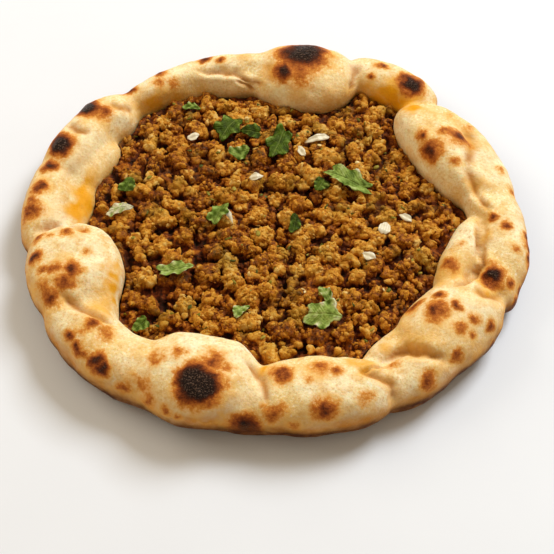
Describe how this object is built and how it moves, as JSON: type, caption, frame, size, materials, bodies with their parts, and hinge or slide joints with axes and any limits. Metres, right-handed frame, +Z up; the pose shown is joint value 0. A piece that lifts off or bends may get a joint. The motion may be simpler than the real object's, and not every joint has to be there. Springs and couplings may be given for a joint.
{
  "type": "keema naan",
  "caption": "Round leavened naan with a puffed, folded rim, filled with a heap of spiced minced meat and strewn with torn coriander leaves and slivers of onion.",
  "frame": {"origin": "middle of the underside, at the centre of the bread's box", "axes": "+Z up out of the filling, -Y towards the side nearest the viewer in the picture, +X along the bread's greatest width"},
  "size_m": [0.2602, 0.2434, 0.031],
  "materials": {
    "dough": "baked wheat dough, cream to golden, with brown and black blisters",
    "mince": "fried minced meat, orange brown and oily",
    "leaf": "fresh coriander leaf, satin green"
  },
  "bodies": {
    "root": {"naan": "dough", "keema": "mince", "leaf_1": "leaf", "leaf_2": "leaf", "leaf_3": "leaf", "leaf_4": "leaf", "leaf_5": "leaf", "leaf_6": "leaf", "leaf_7": "leaf", "leaf_8": "leaf", "leaf_9": "leaf", "leaf_10": "leaf", "leaf_11": "leaf", "leaf_12": "leaf", "leaf_13": "leaf", "leaf_14": "leaf", "leaf_15": "leaf", "leaf_16": "leaf"}
  },
  "joints": []
}
